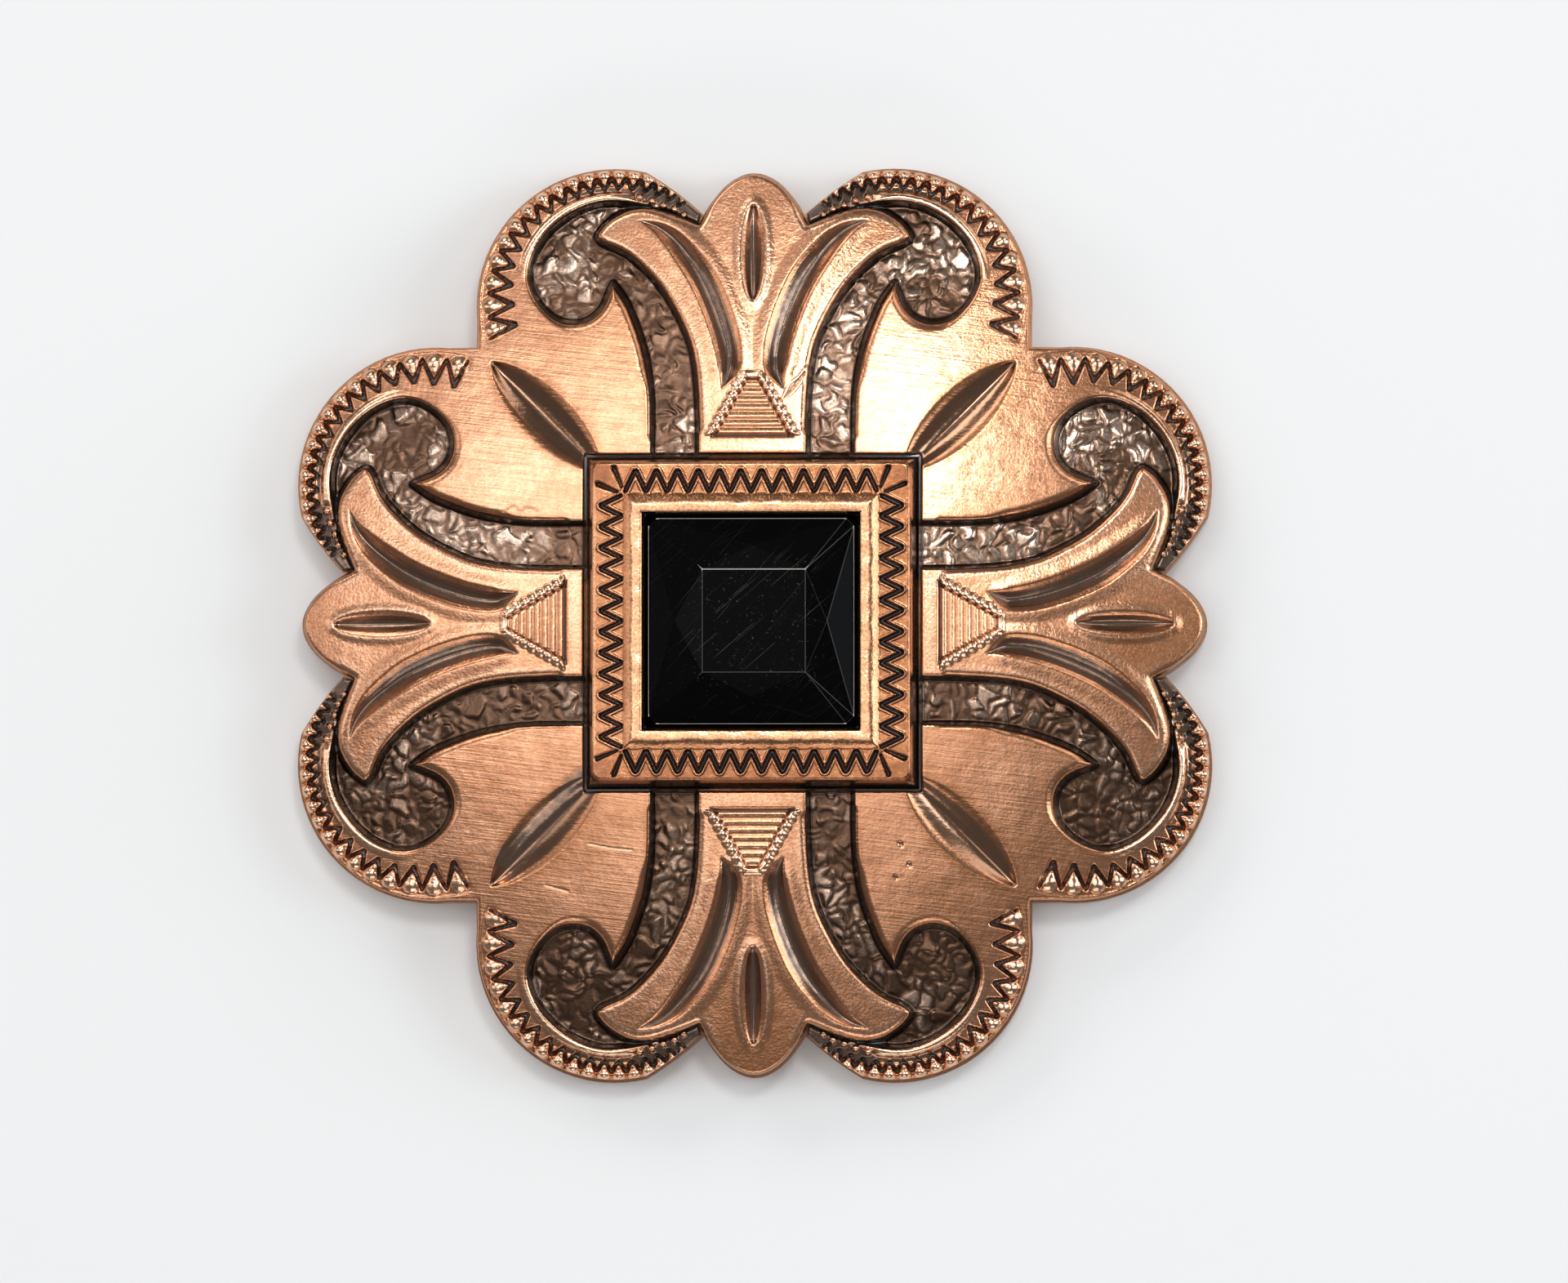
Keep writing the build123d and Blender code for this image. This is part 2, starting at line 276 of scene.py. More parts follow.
def turned(bm, turn):
    copy = bm.copy()
    bmesh.ops.rotate(copy, verts=copy.verts, cent=(0, 0, 0), matrix=Matrix.Rotation(turn, 3, "Z"))
    return copy


def add_object(name, data):
    made = bpy.data.objects.new(name, data)
    bpy.context.scene.collection.objects.link(made)
    return made


def finish_piece(bm, name, material, nodes=(), flat=False):
    """Makes the mesh an object in the frame, facing outwards, that rides on the concho."""
    if name in MARKS:
        add_marks(bm, name)
    bmesh.ops.scale(bm, verts=bm.verts, vec=(MM, MM, MM))
    bmesh.ops.remove_doubles(bm, verts=bm.verts, dist=0.5 * MERGE)
    bmesh.ops.recalc_face_normals(bm, faces=bm.faces)
    mesh = bpy.data.meshes.new(name)
    for face in bm.faces:
        face.smooth = not flat
    bm.to_mesh(mesh)
    bm.free()
    piece = add_object(name, mesh)
    mesh.materials.append(material)
    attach(piece, "root")
    if nodes:
        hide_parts(*nodes)


# Outlines that the pieces share

PANEL_EDGE = Line(outline("scroll_panel_back_right"))
TULIP_EDGE = Line(outline("tulip_back"))
PLATE_EDGE = Line(outline("ground_plate"))


# Marks of use, and broad darker patches, on one piece each: points, half width, rise and brightness.
# The flat ones are the patches, partly tarnish and partly painted shade.

MARKS = {
    "tulip_relief_back": (
        (((1.2, 8.75), (1.6, 9.0), (1.95, 9.5), (2.1, 9.95)), 0.03, 0.02, 0.8),
        (((1.2, 8.8), (1.45, 9.3), (1.8, 9.6), (2.1, 10.0)), 0.03, 0.02, 0.8),
        (((1.25, 8.75), (1.65, 9.25), (2.05, 9.75)), 0.03, -0.02, -0.55),
    ),
    "scroll_relief_back_left": (
        (((-9.75, 4.35), (-9.35, 4.6), (-9.1, 4.4), (-8.8, 4.55), (-8.4, 4.4)), 0.024, -0.012, -0.35),
    ),
    "scroll_relief_front_right": (
        (((5.75, -8.6), (5.78, -8.65)), 0.07, -0.04, -0.7),
        (((6.1, -9.4), (6.12, -9.45)), 0.06, -0.04, -0.7),
        (((5.55, -9.9), (5.6, -9.95)), 0.05, -0.03, -0.5),
    ),
    "scroll_relief_front_left": (
        (((-6.4, -8.6), (-5.6, -8.75), (-4.7, -8.85)), 0.026, -0.015, 0.9),
        (((-8.1, -10.2), (-7.2, -10.45)), 0.026, -0.015, 0.8),
        (((-13.6, -6.4), (-11.8, -5.4), (-10.4, -5.6)), 1.3, 0.0, -0.17),
        (((-6.6, -6.1), (-8.2, -7.8), (-9.6, -9.2)), 0.42, 0.0, -0.8),
    ),
    "scroll_relief_back_right": (
        (((6.2, 5.2), (6.24, 5.25)), 0.05, -0.04, -0.8),
        (((13.8, 9.4), (14.9, 8.9), (15.6, 7.8)), 1.1, 0.0, -0.2),
    ),
    "tulip_relief_right": (
        (((8.6, -2.2), (8.9, -2.6), (9.0, -3.1)), 0.045, 0.04, 1.0),
        (((15.0, -0.6), (16.4, -0.3), (17.3, 0.2)), 1.2, 0.0, -0.24),
    ),
    "tulip_relief_front": (
        (((-0.5, -15.0), (0.2, -16.6), (0.3, -17.4)), 1.1, 0.0, -0.14),
    ),
}


def add_marks(bm, name):
    """Presses or raises the marks of a piece and darkens or brightens them."""
    recess_layer = bm.verts.layers.float["recess"]
    rub_and_highlight_layer = bm.verts.layers.float["rub_and_highlight"]
    for points, half, rise, bright in MARKS[name]:
        line = Line(curved(points))
        low, high = line.points.min(axis=0) - 2 * half, line.points.max(axis=0) + 2 * half
        for vert in bm.verts:
            x, y = vert.co[:2]
            if not (low[0] < x < high[0] and low[1] < y < high[1]) or vert[recess_layer] > 0.9:
                continue
            gap = line.tree.find((x, y, 0))[2]
            share = float(smooth(half * 1.9, half * 0.5, gap))
            vert.co.z += rise * share
            if bright > 0:
                vert[rub_and_highlight_layer] = max(vert[rub_and_highlight_layer], bright * share)
            else:
                vert[recess_layer] = max(vert[recess_layer], -bright * share)


# Scroll panels

PLATE_STEP = 0.12           # from a panel's outline to the ground plate's
OUTER_ROLL = 0.12           # rounding of the panels' outer edge
CHANNEL_ROLL = 0.22         # and beside a channel
POINTED_MIDDLE = 11.43      # long pointed groove, from the concho's middle
POINTED_LONG = 3.05         # half its length
POINTED_WIDE = 1.02         # half its width
POINTED_DEEP = 0.46
ZIGZAG_OUTER = 4.93         # outer points of a lobe's zigzag, from the lobe's middle
ZIGZAG_THIN = 0.075         # half the line's width there
ZIGZAG_DEEP = 0.24
FLUTE_DEEP = 0.09           # shallow flutes inside and outside the zigzag
LIP_RISE = 0.07


def on_lobe(reach, angle):
    turn = math.radians(angle)
    return LOBE_MIDDLE[0] + reach * math.cos(turn), LOBE_MIDDLE[1] + reach * math.sin(turn)


def lobe_zigzag():
    """Zigzag round the lobe next to the tulip on +Y, from the diagonal notch on, with half widths."""
    angles = np.array(TOOTH_ANGLES)
    steps = np.diff(angles, append=2 * angles[-1] - angles[-2])
    inner = np.interp(angles, (-13, 0, 20, 60, 98, 125), (3.95, 3.97, 4.22, 4.42, 4.56, 4.62))
    thick = np.interp(angles, (-13, 30, 90), (0.145, 0.13, 0.115))
    points = [(*on_lobe(5.02, angles[0] - 3.6), 0.07)]
    for angle, step, reach, half in zip(angles, steps, inner, thick):
        points.append((*on_lobe(reach, angle), half))
        points.append((*on_lobe(ZIGZAG_OUTER, angle + step / 2), ZIGZAG_THIN))
    return resampled(points)


def lobe_beads():
    """Beads of a lobe: x, y, radius, rise, brightness."""
    beads = []
    for angle in TOOTH_ANGLES:
        reach = np.interp(angle, (-13, 10, 30, 60, 100), (4.78, 4.83, 4.93, 5.02, 5.06))
        radius = np.interp(angle, (-13, 10, 40, 70), (0.38, 0.36, 0.32, 0.28))
        beads.append((*on_lobe(reach, angle), radius, 0.22, 1.0))
        beads.append((*on_lobe(reach - 0.3, angle), 0.6 * radius, 0.12, 0.6))
    for angle in (103.5, 110.2, 116.6, 122.6, 128.4):
        beads.append((*on_lobe(4.27 if angle < 120 else 4.36, angle), 0.17, 0.13, 0.9))
    return beads


def panel_relief(x, y):
    """Height of the panel on +X+Y above its smooth face, with its darkening, partly painted shade, and
    its rubbed metal, partly painted highlight.
    """
    a, b = np.minimum(x, y), np.maximum(x, y)
    gap = PANEL_EDGE.gap(x, y)
    rim_gap = PLATE_EDGE.gap(x, y, np.hypot(x, y) > 12)
    at_rim = rim_gap - PLATE_STEP < 0.6
    height = np.zeros(len(x))

    # edges rolled over, and darkened where they fall into the channels: stain with painted shade
    curl = smooth(3.2, 2.2, np.hypot(a - 5.1, b - 12.1)) * ~at_rim
    beside = smooth(7.35, 7.05, b)
    roll = np.where(at_rim, OUTER_ROLL, CHANNEL_ROLL + 0.2 * curl - 0.12 * beside)
    t = np.clip(1 - gap / roll, 0, 1)
    height -= roll * (1 - np.sqrt(1 - t ** 2 * 0.98))
    stain_and_shade = (0.4 - 0.3 * beside) * smooth(0.45, 0.05, gap)
    recess = np.where(at_rim, 0.25 * smooth(0.2, 0.0, gap), stain_and_shade)
    rub_and_highlight = np.zeros(len(x))

    # long pointed groove on the diagonal
    u, v = (x + y) / math.sqrt(2), np.abs(x - y) / math.sqrt(2)
    swell = np.clip(1 - ((u - POINTED_MIDDLE) / POINTED_LONG) ** 2, 0, 1)
    half = POINTED_WIDE * swell ** 0.75
    cut = groove(v, half, soft=0.5)
    height -= POINTED_DEEP * cut * swell ** 0.5
    recess = np.maximum(recess, 0.54 * smooth(0.0, 0.4, cut))
    # a darker halo round the groove: stain with painted shade
    recess = np.maximum(recess, 0.3 * smooth(0.4, 0.0, v - half) * (half > 0.01))

    # lobe: zigzag with beads outside it
    cx, cy = a - LOBE_MIDDLE[0], b - LOBE_MIDDLE[1]
    reach, angle = np.hypot(cx, cy), np.degrees(np.arctan2(cy, cx))
    border = (reach > 3.4) & (angle > -30) & (angle < 150)
    line = lobe_zigzag()
    off, index = Line(line).near(a, b, border)
    cut = groove(off, line[index, 2])
    late = smooth(88, 104, angle)
    valley = smooth(4.2, 4.4, reach) * smooth(4.7, 4.55, reach) * smooth(45, 75, angle)
    valley = valley * (1 - late) * border
    height -= np.maximum(ZIGZAG_DEEP * smooth(0, 0.7, cut), FLUTE_DEEP * valley)
    recess = np.maximum(recess, np.maximum(0.9 * smooth(0.15, 0.75, cut), 0.7 * valley))
    strip = smooth(4.62, 4.8, reach) * smooth(5.26, 5.16, reach) * smooth(-19, -14, angle) * border
    strip = strip * np.interp(angle, (-13, 10, 50), (0.35, 0.6, 1))
    height -= FLUTE_DEEP * strip
    recess = np.maximum(recess, 0.32 * strip)
    wear_and_highlight = late * smooth(4.05, 4.2, reach) * smooth(5.2, 5.1, reach) * border
    height -= 0.1 * wear_and_highlight * (1 - strip)
    recess = np.maximum(recess, 0.85 * wear_and_highlight)
    for px, py, radius, rise, bright in lobe_beads():
        bump = rounded(np.hypot(a - px, b - py), radius)
        height = np.maximum(height, height * (1 - bump) + rise * bump * 0.6)
        top = smooth(0.02, 0.3, bump)
        recess *= 1 - top * bright
        rub_and_highlight = np.maximum(rub_and_highlight, 0.85 * smooth(0.15, 0.7, bump) * bright)

    # the zigzag stays dark between the beads
    sunk = smooth(0.15, 0.6, cut)
    recess = np.maximum(recess, 0.95 * sunk)
    rub_and_highlight *= 1 - sunk

    # lobe: raised lip along the outer side of the scroll opening, bright from wear with a painted
    # highlight
    lip = smooth(0.46, 0.3, gap) * smooth(8, 40, angle) * smooth(103, 97, angle)
    lip = lip * (reach < 4.6) * (reach > 3.3) * ~at_rim
    height += LIP_RISE * lip * smooth(0.02, 0.2, gap)
    rub_and_highlight = np.maximum(rub_and_highlight, 0.9 * lip)
    recess *= 1 - lip * smooth(0.06, 0.16, gap)
    recess = np.maximum(recess, smooth(0.09, 0.02, gap) * ~at_rim)
    return height, np.clip(recess, 0, 1), np.clip(rub_and_highlight, 0, 1)


def make_panels(material):
    bm = raised_sheet(PANEL_EDGE, PANEL_CELL, PANEL_THICK, panel_relief)
    for turn, side in enumerate(("back_right", "back_left", "front_left", "front_right")):
        finish_piece(
            turned(bm, turn * math.pi / 2), f"scroll_relief_{side}", material,
            nodes=[f"scroll_panel_{side}"],
        )
    bm.free()


# Tulips

PETAL_LINE = (              # side, out, half width of the petal's groove
    (1.2, 9.15, 0.03), (1.02, 9.55, 0.22), (0.9, 10.0, 0.4), (0.96, 10.7, 0.47), (1.15, 11.5, 0.5),
    (1.5, 12.5, 0.51), (1.97, 13.5, 0.5), (2.53, 14.33, 0.45), (3.12, 15.02, 0.36),
    (3.75, 15.5, 0.2), (4.45, 15.78, 0.03),
)
PETAL_DEEP = 0.32
LEAF_MIDDLE = 14.5
LEAF_LONG = 1.9             # half the leaf groove's length
LEAF_WIDE = 0.46            # half its width
LEAF_DEEP = 0.3
LEAF_TIP = 1.8              # where its lip turns round the tip
HATCH_TOP = 9.46
HATCH_LOW = 7.3
HATCH_NARROW = 0.25         # half the hatching's width at its top
HATCH_SPREAD = 1.21         # what that gains towards its lower end
HATCH_SLANT = 2.476         # length of its slanted sides
HATCH_RIDGES = 7
ROPE_BEADS = 8
ROPE_START = (0.42, HATCH_TOP + 0.03)
ROPE_PITCH = (0.175, -0.313)
ROPE_RADIUS = 0.24
ROPE_RISE = 0.13
# Crease, cap and the line under it: place, half length, half thickness, darkening, rise
FOOT_BARS = (
    (HATCH_LOW, 1.62, 0.03, 1.0, -0.1),
    (9.68, 0.33, 0.09, 0.0, 0.07),
    (9.5, 0.24, 0.02, 0.6, -0.03),
)


def tulip_relief(x, y):
    """Height of the tulip on +Y above its smooth face, with its darkening, partly painted shade, and
    its rubbed metal, partly painted highlight.
    """
    side = np.abs(x)
    gap = TULIP_EDGE.gap(x, y)
    height = np.zeros(len(x))
    leaf = smooth(15.9, 16.6, y)
    foot = smooth(7.6, 7.3, y)
    roll = 0.3 - 0.14 * leaf - 0.18 * foot
    t = np.clip(1 - gap / roll, 0, 1)
    height -= roll * (1 - np.sqrt(1 - t ** 2 * 0.97))
    # edges: a bright line just inside, wear with a painted highlight, and darker at the very edge,
    # stain with painted shade
    rub_and_highlight = 0.25 * smooth(0.6, 0.35, gap) * smooth(0.12, 0.24, gap) * (1 - leaf)
    recess = (0.5 - 0.25 * leaf - 0.35 * foot) * smooth(0.24, 0.03, gap)

    # petal grooves with a raised lip on both sides and a bright crease
    line = curved(PETAL_LINE)
    off, index = Line(line[:, :2]).near(side, y)
    half = line[index, 2]
    full = np.clip(half / 0.45, 0, 1)
    cut = groove(off, half)
    lip = smooth(0.62, 0.1, off - half) * smooth(-0.08, 0.1, off - half) * np.clip(half / 0.25, 0, 1)
    height += 0.05 * lip * smooth(0.02, 0.25, gap) - PETAL_DEEP * cut * full
    recess = np.maximum(recess, 0.8 * smooth(0.0, 0.45, cut))
    # a darker halo beside the groove: stain with painted shade
    recess = np.maximum(recess, 0.26 * smooth(0.3, 0.0, off - half) * full)
    rub_and_highlight = np.maximum(rub_and_highlight, 0.15 * lip)

    # leaf groove, with a lip round it that is bright from wear with a painted highlight
    along = np.abs(y - LEAF_MIDDLE)
    swell = np.clip(1 - (along / LEAF_LONG) ** 2, 0, 1)
    half = LEAF_WIDE * swell ** 0.55
    cut = groove(side, half, soft=0.6)
    beyond = np.where(along > LEAF_TIP, np.hypot(side, along - LEAF_TIP) - 0.08, side - half)
    lip = smooth(0.42, 0.1, beyond) * smooth(-0.08, 0.1, beyond)
    height += 0.04 * lip - LEAF_DEEP * cut * swell ** 0.4
    recess = np.maximum(recess, 0.74 * smooth(0.0, 0.45, cut))
    rub_and_highlight = np.maximum(rub_and_highlight, 0.4 * lip)

    # hatched foot: ridges between two slanted rows of beads, with a cap above and a crease below
    part = (HATCH_TOP - y) / (HATCH_TOP - HATCH_LOW)
    half = HATCH_NARROW + HATCH_SPREAD * part
    within = (part > 0) & (part < 1) & (side < half)
    ridge = 0.5 - 0.5 * np.cos(2 * np.pi * part * HATCH_RIDGES)
    height = np.where(within, height - 0.05 - 0.045 * (1 - ridge), height)
    recess = np.where(within, np.maximum(recess, 0.36 - 0.3 * smooth(0.15, 0.8, ridge)), recess)
    rub_and_highlight = np.where(within, 0.25 * smooth(0.5, 0.9, ridge), rub_and_highlight)
    slant = (side - HATCH_NARROW) * (HATCH_TOP - HATCH_LOW) - (HATCH_TOP - y) * HATCH_SPREAD
    slant = slant / HATCH_SLANT
    seam = smooth(0.07, 0.02, np.abs(slant + 0.02)) * (part > -0.03) * (part < 0.97)
    height -= 0.03 * seam
    recess = np.maximum(recess, 0.66 * seam)
    for i in range(ROPE_BEADS):
        px, py = ROPE_START[0] + ROPE_PITCH[0] * i, ROPE_START[1] + ROPE_PITCH[1] * i
        bump = rounded(np.hypot(side - px, y - py), ROPE_RADIUS) * (y > HATCH_LOW)
        height = np.maximum(height, height * (1 - bump) + ROPE_RISE * bump)
        rub_and_highlight = np.maximum(rub_and_highlight, 0.8 * smooth(0.1, 0.6, bump))
        recess *= 1 - smooth(0.1, 0.35, bump)
    for middle, wide, thick, darkening, rise in FOOT_BARS:
        bar = smooth(thick + 0.05, thick, np.abs(y - middle)) * smooth(wide + 0.05, wide, side)
        height += rise * bar
        recess = np.maximum(recess * (1 - bar), darkening * bar)
        rub_and_highlight = np.maximum(rub_and_highlight, 0.7 * bar) if rise > 0 else rub_and_highlight * (1 - bar)
    recess = np.maximum(recess, smooth(0.07, 0.0, gap))
    return height, np.clip(recess, 0, 1), np.clip(rub_and_highlight, 0, 1)


def make_tulips(material):
    bm = raised_sheet(TULIP_EDGE, TULIP_CELL, TULIP_THICK, tulip_relief)
    for turn, side in enumerate(("back", "left", "front", "right")):
        finish_piece(
            turned(bm, turn * math.pi / 2), f"tulip_relief_{side}", material,
            nodes=[f"tulip_{side}"],
        )
    bm.free()


# Pebbled ground in the channels and scroll openings

GROUND_REACH = 17           # pebbles lie this far from the middle at most
PEBBLE_PITCH = 0.45
PEBBLE_SHARE = 0.75         # of the places that hold one
PEBBLE_TILT = 0.13
PEBBLE_RISE = 0.03          # over its joints, and once more where it is bright from wear with a painted highlight
PEBBLE_BASE = 0.1
PEBBLE_PULLS = ((1.7, 0.42), (4, 0.06))     # for crooked joints: fineness and reach
BANK_RISE = 0.4
CHANNEL_BOX = ((1.7, FOOT_HALF), (9.2, 16.9))       # corners of a half channel's sheet
CHANNEL_END = 0.95          # from the ground plate's outline


def ground_relief(x, y, gap):
    """Flat-topped pebbles, some bright from wear with a painted highlight, painted shade towards the
    front, and the banks that rise to the panels and tulips.
    """
    chance = np.random.default_rng(7)
    steps = np.arange(-GROUND_REACH, GROUND_REACH, PEBBLE_PITCH)
    seeds = np.array([(u, v) for u in steps for v in steps])
    seeds += chance.uniform(-0.5, 0.5, seeds.shape) * PEBBLE_PITCH
    seeds = seeds[chance.uniform(0, 1, len(seeds)) < PEBBLE_SHARE]
    tilt = chance.uniform(-PEBBLE_TILT, PEBBLE_TILT, seeds.shape)
    chosen = chance.uniform(-0.2, 0.2, len(seeds))
    tree = kdtree.KDTree(len(seeds))
    for i, (u, v) in enumerate(seeds):
        tree.insert((u, v, 0), i)
        chosen[i] += noise.noise(Vector((u, v, 3)) * 0.45)
    tree.balance()
    joint = np.zeros(len(x))
    cell = np.zeros(len(x), dtype=int)
    for i, (px, py) in enumerate(zip(x, y)):
        pull = [
            sum(noise.noise(Vector((px, py, layer)) * scale) * far for scale, far in PEBBLE_PULLS)
            for layer in (5, 11)
        ]
        first, second = tree.find_n((px + pull[0], py + pull[1], 0), 2)
        cell[i], joint[i] = first[1], second[2] - first[2]
    body = smooth(0.0, 0.26, joint)
    front = smooth(2, -3, y)
    # painted shade: towards the front fewer pebbles are bright, and these less so
    wear_and_highlight = smooth(-0.16, 0.06, chosen[cell] - 0.14 * front) * (1 - 0.55 * front)
    slope = ((np.column_stack([x, y]) - seeds[cell]) * tilt[cell]).sum(axis=1)
    bank = smooth(0.22, 0.03, gap)
    clear = smooth(0.0, 0.25, gap)
    height = PEBBLE_BASE + (PEBBLE_RISE * body + PEBBLE_RISE * wear_and_highlight + slope * body) * clear
    height += BANK_RISE * smooth(0.17, 0.0, gap) ** 1.5
    recess = np.maximum(bank, 0.22 * smooth(0.45, 0.2, gap))
    # dark joints between pebbles, darker towards the front as painted shade
    recess = np.maximum(recess, (0.12 + 0.2 * front) * (1 - body))
    # painted highlight: bright pebbles are brighter where they tilt one way
    rub_and_highlight = wear_and_highlight * body * (1 - bank) * (0.75 + 0.25 * np.sign(tilt[cell, 0]))
    return height, recess, rub_and_highlight


def make_ground(material):
    """One half of a channel, mirrored and turned to all eight places, then covered in pebbles."""
    square = np.array([(-1, -1), (1, -1), (1, 1), (-1, 1)]) * FOOT_HALF
    panel, tulip = PANEL_EDGE.points, TULIP_EDGE.points

    def in_channel(x, y):
        free = ~inside(panel[::3], x, y) & ~inside(tulip[::3], x, y)
        return free & (y > x) & (PLATE_EDGE.gap(x, y) > CHANNEL_END)

    bm = sheet(*CHANNEL_BOX, GROUND_CELL, in_channel)
    square_edge = resampled(square, closed=True)
    fit_edge(bm, Line(np.vstack([panel, tulip, square_edge])))
    whole = bmesh.new()
    mesh = bpy.data.meshes.new("channel")
    for turn in range(4):
        for mirrored in (False, True):
            side = bm.copy()
            if mirrored:
                bmesh.ops.scale(side, verts=side.verts, vec=(-1, 1, 1))
                bmesh.ops.reverse_faces(side, faces=side.faces)
            part = turned(side, turn * math.pi / 2)
            part.to_mesh(mesh)
            whole.from_mesh(mesh)
            side.free()
            part.free()
    bpy.data.meshes.remove(mesh)
    bm.free()
    x, y = plan(whole)
    edges = []
    for turn in range(4):
        c, s = math.cos(turn * math.pi / 2), math.sin(turn * math.pi / 2)
        spin = np.array([[c, s], [-s, c]])
        edges += [panel @ spin, tulip @ spin]
    gap = Line(np.vstack(edges)).gap(x, y)
    wall_gap = np.maximum(np.abs(x), np.abs(y)) - FOOT_HALF
    relief, recess, rub_and_highlight = ground_relief(x, y, np.minimum(gap, wall_gap))
    raise_to(whole, dome(x, y, 0) + relief, recess, rub_and_highlight)
    finish_piece(whole, "pebbled_ground", material)


# Bezel

BEZEL_TOP = 6.2             # half the width of the top face
BAND_INNER = 5.02           # points of the band's zigzag
BAND_OUTER = 5.88
BAND_DEEP = 0.2
BAND_WIDE = 0.092           # half the zigzag's line
BEZEL_TEETH = 12
BEZEL_PITCH = 0.817
CORNER_STROKES = (((5.02, 5.2), (5.34, 5.97)), ((5.2, 5.02), (5.97, 5.34)))
RIM_INNER = 4.14
RIM_CREST = 4.5
RIM_OUTER = 5.0
RIM_TALL = 0.22
RIM_FALL = 0.35             # how far the rim's inner edge drops to the stone
BEZEL_CORNER = 0.35         # radius of the top face's corners
RIM_CORNER = 0.15           # radius of the opening's corners
BEZEL_ROLL = 0.12           # rounding of the top face's edge


def band_line():
    """Zigzag beside +Y on the bezel's top face, with its turns just rounded."""
    points = [(-(BEZEL_TEETH + 0.05) / 2 * BEZEL_PITCH, BAND_INNER - 0.02)]
    for tooth in range(BEZEL_TEETH):
        x = (tooth - (BEZEL_TEETH - 1) / 2) * BEZEL_PITCH
        points.append((x, BAND_OUTER))
        points.append((x + BEZEL_PITCH / 2, BAND_INNER))
    share = np.ones(9) / 9
    return np.column_stack([np.convolve(c, share, "valid") for c in resampled(points).T])


def bezel_relief(x, y):
    """Height of the bezel above its flat top face, with its darkening, partly painted shade, and its
    rubbed metal, partly painted highlight.
    """
    a, b = np.minimum(np.abs(x), np.abs(y)), np.maximum(np.abs(x), np.abs(y))
    along = np.where(np.abs(y) >= np.abs(x), x, y)
    height = np.zeros(len(x))

    # band: zigzag and corner strokes, wider on the right and the front and darkened there with painted
    # shade
    in_band = b > 4.8
    zigzag = Line(band_line()).gap(along, b, in_band)
    shaded = smooth(4.5, 5.3, np.maximum(x, -y))
    cut = groove(zigzag, BAND_WIDE + 0.028 * shaded)
    in_corner = in_band & (a > 4.6)
    for ends in CORNER_STROKES:
        stroke = resampled(ends)
        half = 0.1 * np.linspace(0.6, 1.25, len(stroke))
        for across, out in ((a, b), (b, a)):
            off, index = Line(stroke).near(across, out, in_corner)
            cut = np.maximum(cut, groove(off, half[index]))
    height -= BAND_DEEP * cut
    # painted shade: the band's face is darker on the right and the front
    band = 0.06 + 0.22 * shaded
    recess = np.maximum(smooth(0.12, 0.75, cut), np.maximum(band, 0.2 * smooth(0.4, 0.2, zigzag)))
    # raised edges beside the zigzag, with a painted highlight on them
    shoulder = smooth(0.21, 0.13, zigzag) * smooth(0.08, 0.12, zigzag)
    height += 0.04 * shoulder

    # rim round the stone, a little uneven
    on_rim = b < RIM_OUTER
    lumps = np.array([noise.noise(Vector((u, v, 1)) * 1.6) for u, v in zip(x, y)])
    t = (b - RIM_CREST) / (RIM_OUTER - RIM_CREST)
    crest = RIM_TALL * np.where(t > 0, (1 - np.clip(t, 0, 1) ** 2) ** 1.2, 1 - 0.35 * t ** 2)
    crest = np.maximum(height, crest * (0.93 + 0.14 * lumps))
    height = np.where(on_rim, crest, height + 0.012 * lumps)
    fall = smooth(RIM_INNER + 0.16, RIM_INNER, b)
    height -= RIM_FALL * fall ** 2
    recess = np.where(on_rim, fall, recess)
    crease = smooth(0.16, 0.0, np.abs(b - RIM_OUTER + 0.05))
    recess = np.maximum(recess, 0.15 * crease)
    recess = np.maximum(recess, 0.34 * smooth(4.9, 5.6, a))
    rub_and_highlight = np.where(on_rim, 0.6 * smooth(4.95, 4.5, b) * (1 - fall), 0.5 * shoulder)

    # rounded edge
    edge = BEZEL_TOP - b
    corner = np.hypot(*(np.maximum(c - BEZEL_TOP + BEZEL_CORNER, 0) for c in (a, b)))
    edge = np.minimum(edge, BEZEL_CORNER - corner)
    roll = np.clip(1 - edge / BEZEL_ROLL, 0, 1)
    height -= BEZEL_ROLL * (1 - np.sqrt(1 - roll ** 2 * 0.98))
    rub_and_highlight = np.maximum(rub_and_highlight, 0.6 * smooth(0.2, 0.05, edge))
    return height, recess, np.clip(rub_and_highlight, 0, 1)


def rounded_square(half, radius):
    """Outline of a square with round corners."""
    points = []
    for turn in range(4):
        for part in range(9):
            angle = math.radians(90 * turn + 90 * part / 8)
            sign = [(1, 1), (-1, 1), (-1, -1), (1, -1)][turn]
            points.append((
                sign[0] * (half - radius) + radius * math.cos(angle),
                sign[1] * (half - radius) + radius * math.sin(angle),
            ))
    return resampled(points, closed=True)


